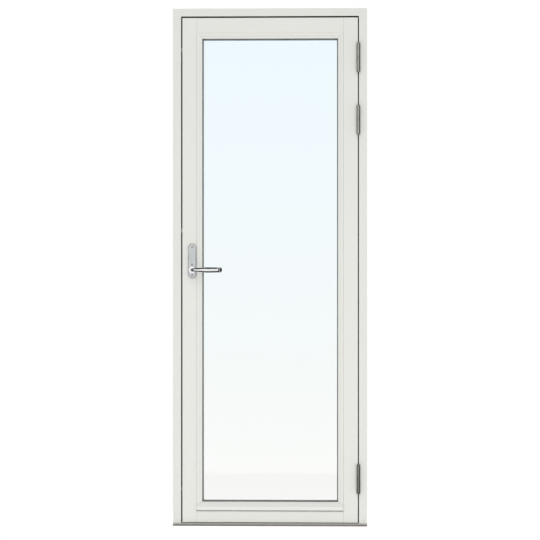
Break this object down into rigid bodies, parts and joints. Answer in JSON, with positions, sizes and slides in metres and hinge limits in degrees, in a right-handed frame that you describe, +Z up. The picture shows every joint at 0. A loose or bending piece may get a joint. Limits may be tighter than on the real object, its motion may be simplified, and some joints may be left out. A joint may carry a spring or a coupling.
{
  "type": "glass door",
  "caption": "Outward-opening glazed terrace door in its rebated frame, with an aluminium threshold, lift-off hinges and lever handles that drive an espagnolette lock.",
  "frame": {"origin": "middle of the threshold's underside, halfway through the frame's depth", "axes": "+X along the wall towards the hinge side as seen from outside, +Y into the room, +Z up"},
  "size_m": [0.78, 0.1822, 2.08],
  "materials": {
    "frame_paint": "satin white paint",
    "sash_paint": "satin white paint",
    "bead_paint": "satin white paint",
    "threshold_wood": "oiled hardwood",
    "threshold_alloy": "natural anodised",
    "seal_rubber": "matt",
    "lock_zinc": "zinc plated",
    "hinge_steel": "dull nickel",
    "pin_steel": "bright steel",
    "clear_glass": "clear",
    "spacer_grey": "warm-edge spacer",
    "edge_sealant": "matt",
    "gasket_grey": "matt",
    "block_plastic": "moulded",
    "plate_satin": "satin chrome",
    "screw_nickel": "nickel plated",
    "lever_chrome": "polished",
    "cam_steel": "hardened and plated"
  },
  "bodies": {
    "frame": {"lock_jamb": "frame_paint", "hinge_jamb": "frame_paint", "lock_stop": "frame_paint", "hinge_stop": "frame_paint", "head": "frame_paint", "threshold_core": "threshold_wood", "threshold_cover": "threshold_alloy", "frame_seal": "seal_rubber", "sill_seal": "seal_rubber", "upper_strike": "lock_zinc", "middle_strike": "lock_zinc", "lower_strike": "lock_zinc", "strike_screws": "lock_zinc", "upper_frame_leaf": "hinge_steel", "middle_frame_leaf": "hinge_steel", "lower_frame_leaf": "hinge_steel", "hinge_pins": "pin_steel", "hinge_washers": "block_plastic", "hinge_frame_screws": "hinge_steel"},
    "sash": {"upper_sash_leaf": "hinge_steel", "middle_sash_leaf": "hinge_steel", "lower_sash_leaf": "hinge_steel", "hinge_sash_screws": "hinge_steel", "lock_stile": "sash_paint", "hinge_stile": "sash_paint", "top_rail": "sash_paint", "bottom_rail": "sash_paint", "top_bead": "bead_paint", "lock_side_bead": "bead_paint", "hinge_side_bead": "bead_paint", "drip_bead": "bead_paint", "outer_pane": "clear_glass", "middle_pane": "clear_glass", "inner_pane": "clear_glass", "outer_spacer": "spacer_grey", "inner_spacer": "spacer_grey", "outer_edge_seal": "edge_sealant", "inner_edge_seal": "edge_sealant", "outer_gasket": "gasket_grey", "inner_gasket": "gasket_grey", "setting_blocks": "block_plastic", "faceplate": "lock_zinc", "faceplate_screws": "lock_zinc", "gearbox_case": "lock_zinc", "gearbox_cover": "lock_zinc", "outside_plate": "plate_satin", "inside_plate": "plate_satin", "outside_plate_screw": "screw_nickel", "inside_plate_screw": "screw_nickel", "handle_bolts": "screw_nickel", "sleeve_nuts": "screw_nickel"},
    "handle": {"outside_lever": "lever_chrome", "inside_lever": "lever_chrome", "spindle": "pin_steel", "drive_pinion": "pin_steel"},
    "upper_rod": {"upper_rod": "pin_steel", "upper_cam": "cam_steel", "middle_cam": "cam_steel"},
    "lower_rod": {"lower_rod": "pin_steel", "lower_cam": "cam_steel"}
  },
  "joints": [
    {"name": "door_swing", "type": "hinge", "parent": "frame", "child": "sash", "pos_m": [0.35525, -0.06075, 1], "axis": [0, 0, 1], "range_deg": [0, 170]},
    {"name": "handle_turn", "type": "hinge", "parent": "sash", "child": "handle", "pos_m": [-0.3125, -0.022, 1.029], "axis": [0, 1, 0], "range_deg": [0, 90]},
    {"name": "upper_rod_slide", "type": "slide", "parent": "sash", "child": "upper_rod", "axis": [0, 0, 1], "range_m": [0, 0.0126]},
    {"name": "lower_rod_slide", "type": "slide", "parent": "sash", "child": "lower_rod", "axis": [0, 0, -1], "range_m": [0, 0.0126]}
  ],
  "couplings": [
    {"joint": "upper_rod_slide", "follows": "handle_turn", "m_per_rad": 0.008},
    {"joint": "lower_rod_slide", "follows": "handle_turn", "m_per_rad": 0.008}
  ]
}
